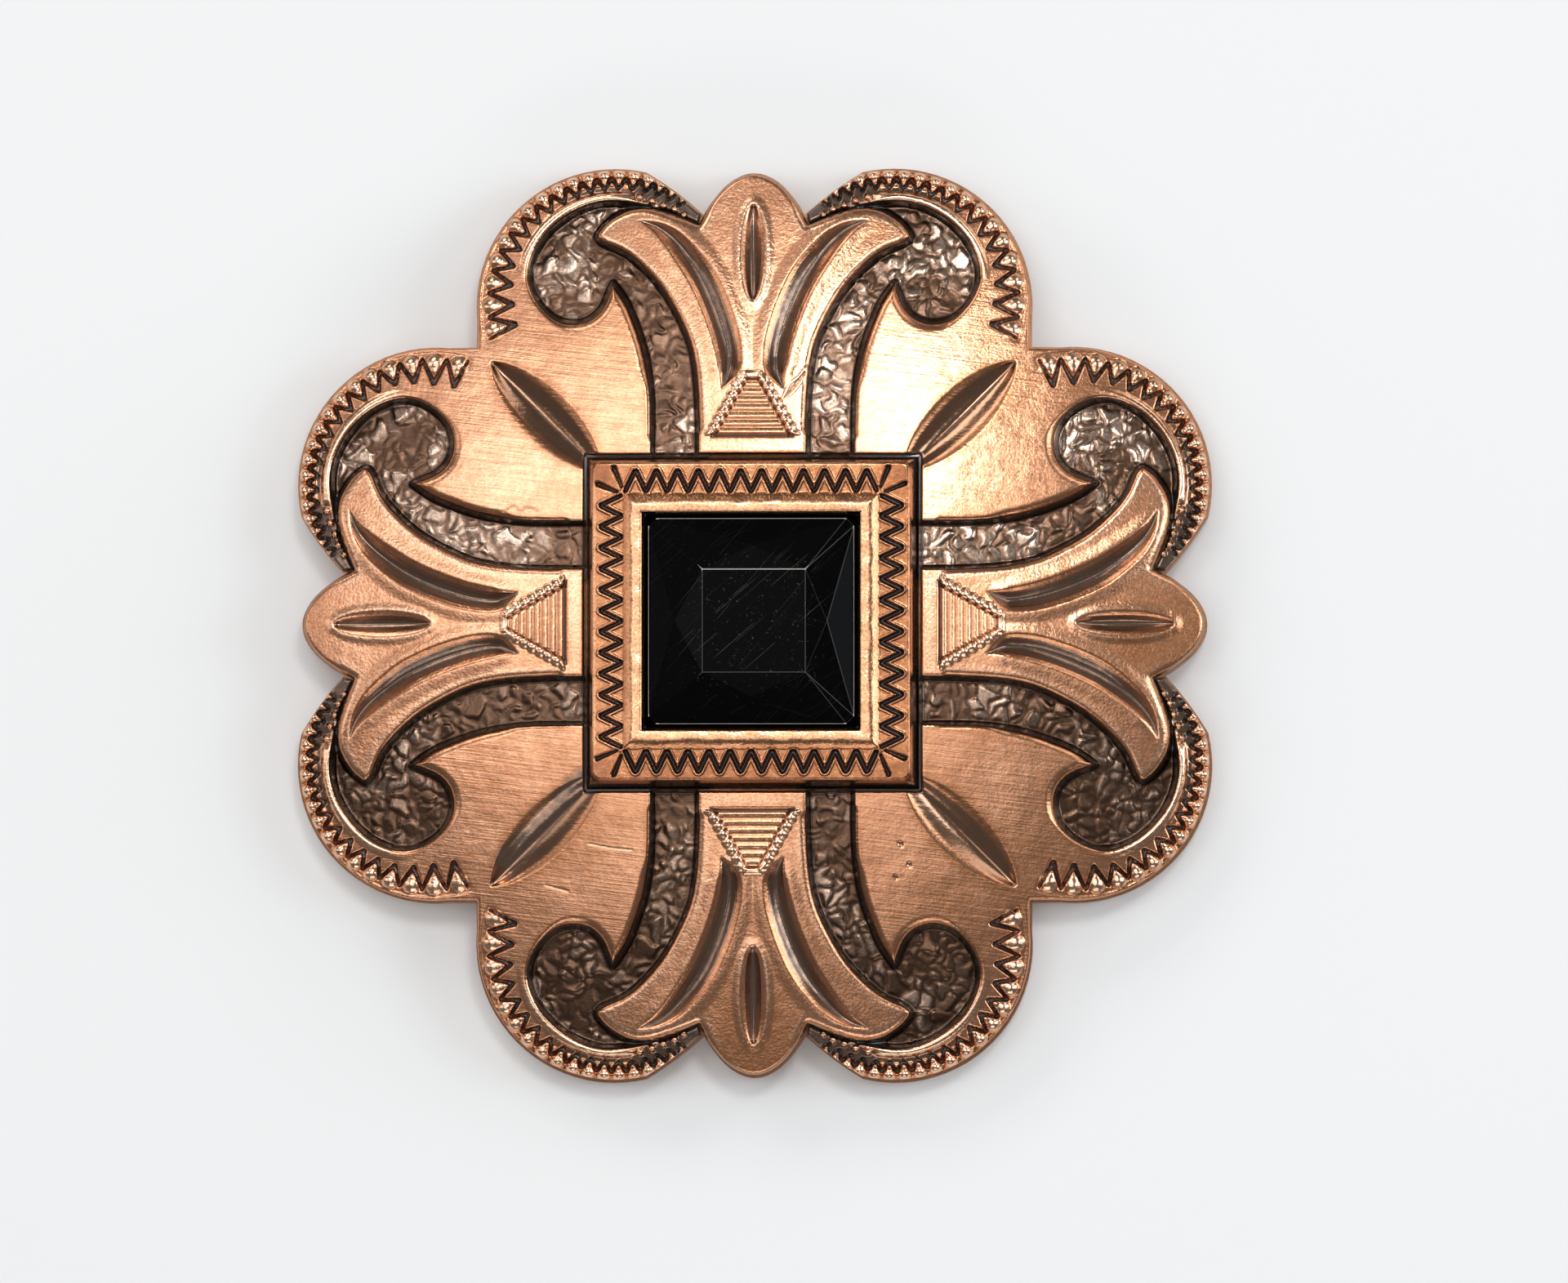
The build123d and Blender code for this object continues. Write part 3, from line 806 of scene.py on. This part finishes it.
def make_bezel(material):
    outer = rounded_square(BEZEL_TOP, BEZEL_CORNER)
    inner = rounded_square(RIM_INNER, RIM_CORNER)
    reach = BEZEL_TOP + MARGIN
    bm = sheet(
        (-reach, -reach), (reach, reach), BEZEL_CELL,
        lambda x, y: inside(outer[::3], x, y) & ~inside(inner[::3], x, y),
    )
    fit_edge(bm, Line(np.vstack([outer, inner])))
    x, y = plan(bm)
    relief, recess, rub_and_highlight = bezel_relief(x, y)
    top = CREST_HIGH - RIM_TALL
    raise_to(bm, top + relief, recess, rub_and_highlight)
    recess_layer = bm.verts.layers.float["recess"]

    def border(wanted):
        edges = [edge for edge in bm.edges if edge.is_boundary]
        return [edge for edge in edges if wanted(max(abs(c) for c in edge.verts[0].co[:2]))]

    # outer walls lean out to the foot, then the inside goes down to the cup's floor
    edges = border(lambda m: m > RIM_OUTER)
    spread = (FOOT_HALF - 0.02) / BEZEL_TOP
    for share in (0.3, 0.55, 0.8, 1.0):
        verts, edges = extruded(bm, edges)
        for vert in verts:
            flat = max(abs(vert.co.x), abs(vert.co.y))
            target = BEZEL_TOP * (1 + (spread - 1) * share)
            lean = max(target / flat, 1)
            vert.co.x *= lean
            vert.co.y *= lean
            foot = float(dome(vert.co.x, vert.co.y, SEAT))
            vert.co.z = top - BEZEL_ROLL + (foot - top + BEZEL_ROLL) * share
            vert[recess_layer] = 0.52 * smooth(0.0, 0.6, share)
    edges = border(lambda m: m < RIM_OUTER)
    floor = STONE_LOW - SEAT
    for share in (0.5, 1.0):
        verts, edges = extruded(bm, edges)
        for vert in verts:
            vert.co.z += (floor - vert.co.z) * share
            vert[recess_layer] = 1.0
    bmesh.ops.contextual_create(bm, geom=edges)
    finish_piece(bm, "bezel_relief", material, nodes=["bezel_frame"])


# Stone

BELT_LOW, BELT_HIGH = STONE_LOW + 1.2, STONE_LOW + 1.4
STONE_CORNER = 0.3
BACK_HALF, TABLE_HALF = STONE_HALF * 0.72, STONE_HALF * 0.5
TABLE_SHIFT = 0.12          # the table lies a little to the right, as in the photograph
FACET_OUT = STONE_HALF * 0.74               # points where the crown's facets meet
FACET_HIGH = BELT_HIGH + 0.7 * (STONE_HIGH - BELT_HIGH)
FACET_EDGE = 0.02           # softening


def make_stone(material):
    """Square stone with its facets' edges just softened, and a painted highlight on those that catch
    the light.
    """
    half, near_corner = STONE_HALF, STONE_HALF - STONE_CORNER
    points = []
    for z in (BELT_LOW, BELT_HIGH):
        for sx, sy in ((1, 1), (-1, 1), (-1, -1), (1, -1)):
            points.append((sx * half, sy * near_corner, z))
            points.append((sx * near_corner, sy * half, z))
    for size, z, x in ((BACK_HALF, STONE_LOW, 0), (TABLE_HALF, STONE_HIGH, TABLE_SHIFT)):
        points += [(x + sx * size, sy * size, z) for sx in (1, -1) for sy in (1, -1)]
    for x, y in ((FACET_OUT, 0), (-FACET_OUT, 0), (0, FACET_OUT), (0, -FACET_OUT)):
        points.append((x, y, FACET_HIGH))
    bm = bmesh.new()
    for point in points:
        bmesh.ops.create_vert(bm, co=point)
    bmesh.ops.convex_hull(bm, input=bm.verts)
    bmesh.ops.dissolve_limit(
        bm, angle_limit=math.radians(0.5), verts=bm.verts, edges=bm.edges,
    )
    # painted highlight: softened edges that catch the light are paler, most along the girdle, the
    # table's back edge and the right side
    wear_and_highlight = bm.faces.layers.float.new("wear_and_highlight")
    softened = bmesh.ops.bevel(
        bm, geom=list(bm.edges), offset=FACET_EDGE, affect="EDGES", segments=2, profile=0.5,
        material=-1, clamp_overlap=True,
    )
    for face in softened["faces"]:
        x, y, z = face.calc_center_median()
        if z > STONE_HIGH - 0.03:
            face[wear_and_highlight] = 0.5 if y > TABLE_HALF - 0.05 else 0.06
        elif z > BELT_LOW - 0.03 and max(abs(x), abs(y)) > half - 0.1:
            face[wear_and_highlight] = 1.0
        elif x > TABLE_HALF + TABLE_SHIFT:
            face[wear_and_highlight] = 0.06 if x > FACET_OUT - 0.05 else 0.015
    finish_piece(bm, "faceted_stone", material, nodes=["stone"], flat=True)


# Materials

GRAIN_DEEP = 0.000012       # metres
PEBBLE_GRAIN = 0.000008
SCRATCH_DEEP = 0.00001
BLACK = (0.002, 0.002, 0.002, 1)


def new_group(name, inputs, outputs):
    group = bpy.data.node_groups.new(name, "ShaderNodeTree")
    for socket, kind, value in inputs:
        made = group.interface.new_socket(
            socket, in_out="INPUT", socket_type="NodeSocket" + kind,
        )
        made.default_value = value
    for socket, kind in outputs:
        group.interface.new_socket(socket, in_out="OUTPUT", socket_type="NodeSocket" + kind)
    entry = group.nodes.new("NodeGroupInput")
    leave = group.nodes.new("NodeGroupOutput")
    return group, entry.outputs, leave.inputs


def add_node(tree, kind, links=(), **settings):
    """A node with its settings and its inputs, each a value or another node's output."""
    node = tree.nodes.new(kind)
    for name, value in settings.items():
        setattr(node, name, value)
    for socket, value in dict(links).items():
        if isinstance(value, bpy.types.NodeSocket):
            tree.links.new(value, node.inputs[socket])
        else:
            node.inputs[socket].default_value = value
    return node


def blend_colours(tree, share, first, second):
    node = add_node(tree, "ShaderNodeMix", {0: share, 6: first, 7: second}, data_type="RGBA")
    return node.outputs[2]


def maths(tree, how, first, second, clamp=False):
    node = add_node(tree, "ShaderNodeMath", {0: first, 1: second}, operation=how, use_clamp=clamp)
    return node.outputs[0]


def times(tree, first, second):
    return maths(tree, "MULTIPLY", first, second)


def ramp(tree, value, low, high, from_low=0.0, from_high=1.0):
    node = add_node(tree, "ShaderNodeMapRange", {
        "Value": value, "From Min": from_low, "From Max": from_high, "To Min": low, "To Max": high,
    })
    return node.outputs["Result"]


def noise_at(tree, place, scale, detail, rough, stretch=None):
    if stretch:
        place = add_node(tree, "ShaderNodeMapping", {"Vector": place, "Scale": stretch}).outputs[0]
    return add_node(tree, "ShaderNodeTexNoise", {
        "Vector": place, "Scale": scale, "Detail": detail, "Roughness": rough,
    }).outputs["Fac"]


def new_material(name):
    material = bpy.data.materials.new(name)
    material.use_nodes = True
    return material, material.node_tree.nodes["Principled BSDF"]


def satin_grain():
    """Fine brushed and cast grain: its height, and a mask of the dark specks in it."""
    group, given, result = new_group(
        "Satin Grain",
        [("Place", "Vector", (0, 0, 0)), ("Brushing", "Float", 0.5), ("Casting", "Float", 0.5),
         ("Recess", "Float", 0.0)],
        [("Height", "Float"), ("Specks", "Float")],
    )
    place = given["Place"]
    laid = add_node(group, "ShaderNodeMapping", {
        "Vector": place, "Rotation": (0, 0, math.radians(7)),
    }).outputs[0]
    brushed = noise_at(group, laid, 1.0, 4, 0.65, stretch=(260, 9000, 600))
    brushed = ramp(group, brushed, 0, 1, 0.3, 0.7)
    cast = noise_at(group, place, 8500, 3, 0.6)
    height = times(group, times(group, cast, 2.2), given["Casting"])
    height = maths(group, "ADD", times(group, brushed, given["Brushing"]), height)
    height = times(group, height, ramp(group, given["Recess"], 1, 0.2, 0.3, 0.6))
    for scale, detail, rough, strong in ((450, 2, 0.5, 3.4), (1700, 3, 0.6, 0.9)):
        waves = times(group, noise_at(group, place, scale, detail, rough), strong)
        height = maths(group, "ADD", height, waves)
    group.links.new(height, result["Height"])
    streaks = times(group, ramp(group, brushed, 1, 0, 0.2, 0.6), given["Brushing"])
    pits = times(group, ramp(group, cast, 1, 0, 0.42, 0.55), given["Casting"])
    group.links.new(maths(group, "ADD", streaks, pits, clamp=True), result["Specks"])
    return group


def antique_finish():
    """Copper, darkened where it falls away by stain with painted shade, blackened in its recesses, and
    bright where rubbed, with painted highlights in places.
    """
    group, given, result = new_group(
        "Antique Finish",
        [("Place", "Vector", (0, 0, 0)), ("Recess", "Float", 0.0), ("Rub And Highlight", "Float", 0.0),
         ("Specks", "Float", 0.5),
         ("Copper", "Color", (0.6, 0.3, 0.15, 1)),
         ("Tarnish", "Color", (0.35, 0.15, 0.08, 1)),
         ("Bright", "Color", (0.85, 0.55, 0.33, 1)),
         ("Stain", "Color", (0.2, 0.1, 0.06, 1)),
         ("Oxide", "Color", (0.03, 0.02, 0.015, 1)),
         ("Face Roughness", "Float", 0.38), ("Oxide Coat", "Float", 0.5)],
        [("Base Color", "Color"), ("Roughness", "Float"), ("Metallic", "Float"),
         ("Coat Weight", "Float")],
    )
    place, recess, rub_and_highlight = given["Place"], given["Recess"], given["Rub And Highlight"]
    cloud = ramp(group, noise_at(group, place, 210, 5, 0.62), 0, 1, 0.38, 0.66)
    mottle = ramp(group, noise_at(group, place, 2600, 4, 0.7), 0, 1, 0.35, 0.68)
    tarnish = maths(group, "ADD", times(group, cloud, 0.45), times(group, mottle, 0.4), clamp=True)
    tarnish = times(group, tarnish, maths(group, "SUBTRACT", 1.0, times(group, rub_and_highlight, 0.6)))
    colour = blend_colours(group, tarnish, given["Copper"], given["Tarnish"])
    colour = blend_colours(group, times(group, rub_and_highlight, 0.7), colour, given["Bright"])
    colour = blend_colours(group, times(group, given["Specks"], 0.9), colour, given["Tarnish"])
    swing = times(group, maths(group, "SUBTRACT", mottle, 0.5), 0.16)
    swing = times(group, swing, ramp(group, recess, 0, 1, 0.02, 0.25))
    # the darkening is patina and stains, with painted shade in places
    darkening = maths(group, "ADD", recess, swing)
    blush = ramp(group, darkening, 0, 1, 0.03, 0.3)
    stain_and_shade = ramp(group, darkening, 0, 1, 0.25, 0.6)
    oxide = ramp(group, darkening, 0, 1, 0.64, 0.96)
    colour = blend_colours(group, times(group, blush, 0.8), colour, given["Tarnish"])
    colour = blend_colours(group, stain_and_shade, colour, given["Stain"])
    colour = blend_colours(group, oxide, colour, given["Oxide"])
    group.links.new(colour, result["Base Color"])
    rough = maths(group, "ADD", given["Face Roughness"], times(group, tarnish, 0.1))
    rough = maths(group, "SUBTRACT", rough, times(group, rub_and_highlight, 0.08))
    rough = maths(group, "SUBTRACT", rough, times(group, stain_and_shade, 0.06))
    group.links.new(rough, result["Roughness"])
    group.links.new(ramp(group, oxide, 1.0, 0.4), result["Metallic"])
    sheen = maths(group, "MAXIMUM", times(group, stain_and_shade, given["Oxide Coat"]), 0.1)
    group.links.new(sheen, result["Coat Weight"])
    return group


def metal(name, groups, colours, brushing, casting, roughness, oxide_coat=0.6, depth=GRAIN_DEEP):
    """Antiqued copper on the masks of its piece."""
    material, shader = new_material(name)
    tree = material.node_tree
    place = add_node(tree, "ShaderNodeTexCoord").outputs["Object"]
    recess = add_node(tree, "ShaderNodeAttribute", attribute_name="recess").outputs["Fac"]
    rub_and_highlight = add_node(tree, "ShaderNodeAttribute", attribute_name="rub_and_highlight").outputs["Fac"]
    grain, finish = (tree.nodes.new("ShaderNodeGroup") for _ in groups)
    grain.node_tree, finish.node_tree = groups
    grain.inputs["Brushing"].default_value = brushing
    grain.inputs["Casting"].default_value = casting
    for node, socket, value in (
        (grain, "Place", place), (grain, "Recess", recess), (finish, "Place", place),
        (finish, "Recess", recess), (finish, "Rub And Highlight", rub_and_highlight), (finish, "Specks", grain.outputs["Specks"]),
    ):
        tree.links.new(value, node.inputs[socket])
    for socket, colour in colours.items():
        finish.inputs[socket].default_value = (*colour, 1)
    finish.inputs["Face Roughness"].default_value = roughness
    finish.inputs["Oxide Coat"].default_value = oxide_coat
    shader.inputs["Coat Roughness"].default_value = 0.2
    shader.inputs["Coat IOR"].default_value = 1.6
    for output in finish.outputs:
        tree.links.new(output, shader.inputs[output.name])
    relief = add_node(tree, "ShaderNodeBump", {
        "Height": grain.outputs["Height"], "Distance": depth, "Strength": 1.0,
    })
    tree.links.new(relief.outputs["Normal"], shader.inputs["Normal"])
    return material


def black_glass():
    """Opaque black glass with fine scratches, most of them the same way, and a painted highlight on
    its softened edges.
    """
    material, shader = new_material("Black Stone")
    tree = material.node_tree
    shader.inputs["Base Color"].default_value = BLACK
    shader.inputs["Specular IOR Level"].default_value = 0.02
    place = add_node(tree, "ShaderNodeTexCoord").outputs["Object"]
    marks = 0.0
    for turn, low, high in ((-41, 0.64, 0.67), (-50, 0.66, 0.69), (17, 0.69, 0.72), (-28, 0.69, 0.72)):
        laid = add_node(tree, "ShaderNodeMapping", {
            "Vector": place, "Rotation": (0, 0, math.radians(turn)), "Location": (turn, turn, 0),
        }).outputs[0]
        lines = ramp(tree, noise_at(tree, laid, 1.0, 1, 0.5, stretch=(20, 26000, 0)), 0, 1, low, high)
        runs = noise_at(tree, laid, 1.0, 1, 0.5, stretch=(600, 2500, 0))
        runs = ramp(tree, runs, 0, 1, 0.5, 0.56)
        marks = maths(tree, "MAXIMUM", times(tree, lines, runs), marks)
    high = add_node(tree, "ShaderNodeSeparateXYZ", {"Vector": place}).outputs["Z"]
    on_table = ramp(tree, high, 0.15, 1.0, (STONE_HIGH - 0.2) * MM, (STONE_HIGH - 0.02) * MM)
    dots = ramp(tree, noise_at(tree, place, 9000, 2, 0.6), 0, 0.6, 0.66, 0.72)
    marks = times(tree, maths(tree, "MAXIMUM", marks, dots), on_table)
    tree.links.new(ramp(tree, marks, 0.07, 0.6), shader.inputs["Roughness"])
    dust_and_highlight = blend_colours(tree, marks, BLACK, (0.09, 0.075, 0.065, 1))
    # painted highlight: the softened edges that catch the light are paler
    wear_and_highlight = add_node(tree, "ShaderNodeAttribute", attribute_name="wear_and_highlight").outputs["Fac"]
    dust_and_highlight = blend_colours(tree, wear_and_highlight, dust_and_highlight, (0.75, 0.69, 0.64, 1))
    tree.links.new(dust_and_highlight, shader.inputs["Base Color"])
    relief = add_node(tree, "ShaderNodeBump", {
        "Height": marks, "Distance": SCRATCH_DEEP, "Strength": 1.0,
    })
    tree.links.new(relief.outputs["Normal"], shader.inputs["Normal"])
    return material


def pale_floor():
    material, shader = new_material("Pale Floor")
    shader.inputs["Base Color"].default_value = (0.84, 0.83, 0.81, 1)
    shader.inputs["Roughness"].default_value = 0.8
    return material


# Studio

def add_light(name, place, size, brightness, colour=(1, 1, 1)):
    """A softbox that faces the concho. Its brightness is what a mirror would show of it."""
    lamp = bpy.data.lights.new(name, "AREA")
    lamp.shape = "RECTANGLE"
    lamp.size, lamp.size_y = size
    lamp.energy = brightness * math.pi * size[0] * size[1]
    lamp.color = colour
    light = add_object(name, lamp)
    light.location = place
    light.rotation_euler = (-Vector(place)).to_track_quat("-Z", "Y").to_euler()


def add_floor(material):
    bm = bmesh.new()
    bmesh.ops.create_grid(bm, x_segments=1, y_segments=1, size=1.5)
    mesh = bpy.data.meshes.new("floor")
    bm.to_mesh(mesh)
    bm.free()
    floor = add_object("floor", mesh)
    mesh.materials.append(material)


def add_camera():
    """Looks down from a little to the right and the front, as the photograph does."""
    away = 0.7
    aim = Vector((0.00117, -0.00066, 0.002))
    camera = add_object("camera", bpy.data.cameras.new("camera"))
    camera.location = aim + Vector((0.027 * away, -0.034 * away, away))
    back = (camera.location - aim).normalized()
    right = Vector((0, 1, 0)).cross(back).normalized()
    camera.rotation_euler = Matrix((right, back.cross(right), back)).transposed().to_euler()
    width = 0.0612
    camera.data.sensor_width = 36.0
    camera.data.lens = 36.0 * away / width
    camera.data.clip_start = 0.01
    bpy.context.scene.camera = camera


def soften_highlights():
    """Lets each colour fade softly to white where it gets brighter than the picture can show."""
    view = bpy.context.scene.view_settings
    view.use_curve_mapping = True
    mapping = view.curve_mapping
    mapping.white_level = (4, 4, 4)
    curve = mapping.curves[3]
    for share, shown in (
        (0.06, 0.24), (0.12, 0.48), (0.19, 0.72), (0.25, 0.86), (0.37, 0.94), (0.5, 0.975),
    ):
        curve.points.new(share, shown)
    for point in curve.points:
        point.handle_type = "AUTO_CLAMPED"
    mapping.update()


def add_studio():
    add_floor(pale_floor())
    add_light("key_softbox", (0.066, 0.138, 0.43), (0.058, 0.07), 20, (0.94, 0.98, 1.0))
    add_light("band_softbox", (-0.05, 0.13, 0.44), (0.2, 0.08), 1.25, (0.9, 0.97, 1.05))
    add_light("side_band_softbox", (-0.19, 0.066, 0.44), (0.2, 0.115), 1.0, (0.93, 0.98, 1.1))
    add_light("overhead_softbox", (-0.02, 0.02, 0.46), (0.32, 0.38), 0.76)
    add_light("ceiling_softbox", (-0.08, 0.08, 0.50), (0.52, 0.44), 0.35)
    add_light("left_softbox", (-0.46, 0.05, 0.24), (0.20, 0.35), 1.0)
    add_light("right_softbox", (0.46, 0.05, 0.24), (0.20, 0.35), 3.6, (0.78, 0.9, 1.0))
    add_light("back_softbox", (-0.24, 0.42, 0.30), (0.34, 0.18), 2.5)
    add_light("corner_softbox", (0.31, 0.32, 0.22), (0.2, 0.2), 1.4)
    add_light("front_softbox", (0.05, -0.48, 0.22), (0.45, 0.14), 1.6)
    world = bpy.data.worlds.new("studio")
    world.use_nodes = True
    backdrop = world.node_tree.nodes["Background"]
    backdrop.inputs["Color"].default_value = (0.95, 0.96, 1.0, 1)
    backdrop.inputs["Strength"].default_value = 0.14
    bpy.context.scene.world = world
    bpy.context.scene.view_settings.view_transform = "Standard"
    bpy.context.scene.view_settings.exposure = 0.5
    soften_highlights()


groups = (satin_grain(), antique_finish())
face_colours = {
    "Copper": (0.84, 0.43, 0.25), "Tarnish": (0.47, 0.195, 0.09), "Bright": (0.97, 0.68, 0.48),
    "Stain": (0.3, 0.172, 0.108), "Oxide": (0.028, 0.021, 0.018),
}
bezel_colours = {
    "Copper": (0.6, 0.268, 0.128), "Tarnish": (0.27, 0.1, 0.042), "Bright": (0.94, 0.56, 0.32),
    "Stain": (0.11, 0.05, 0.028), "Oxide": (0.012, 0.009, 0.008),
}
ground_colours = {
    "Copper": (0.19, 0.102, 0.062), "Tarnish": (0.085, 0.043, 0.025), "Bright": (0.95, 0.7, 0.54),
    "Stain": (0.05, 0.03, 0.02), "Oxide": (0.018, 0.012, 0.009),
}
back_colours = {
    "Copper": (0.46, 0.22, 0.12), "Tarnish": (0.26, 0.11, 0.05), "Bright": (0.66, 0.4, 0.24),
    "Stain": (0.13, 0.065, 0.04), "Oxide": (0.03, 0.02, 0.015),
}

# After the colours: brushing, casting, roughness
back_metal = metal("Back Copper", groups, back_colours, 0.1, 0.5, 0.34)
make_panels(metal("Panel Copper", groups, face_colours, 0.4, 0.22, 0.17, oxide_coat=0.25))
make_tulips(metal("Tulip Copper", groups, face_colours, 0.12, 0.46, 0.19, oxide_coat=0.3))
make_ground(metal("Pebbled Copper", groups, ground_colours, 0.0, 0.4, 0.26, depth=PEBBLE_GRAIN))
make_bezel(metal("Bezel Copper", groups, bezel_colours, 0.1, 0.42, 0.19, oxide_coat=0.2))
make_stone(black_glass())
for node in ("ground_plate", "back_post"):
    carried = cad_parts[node]
    carried.data.materials.clear()
    carried.data.materials.append(back_metal)
add_camera()
add_studio()
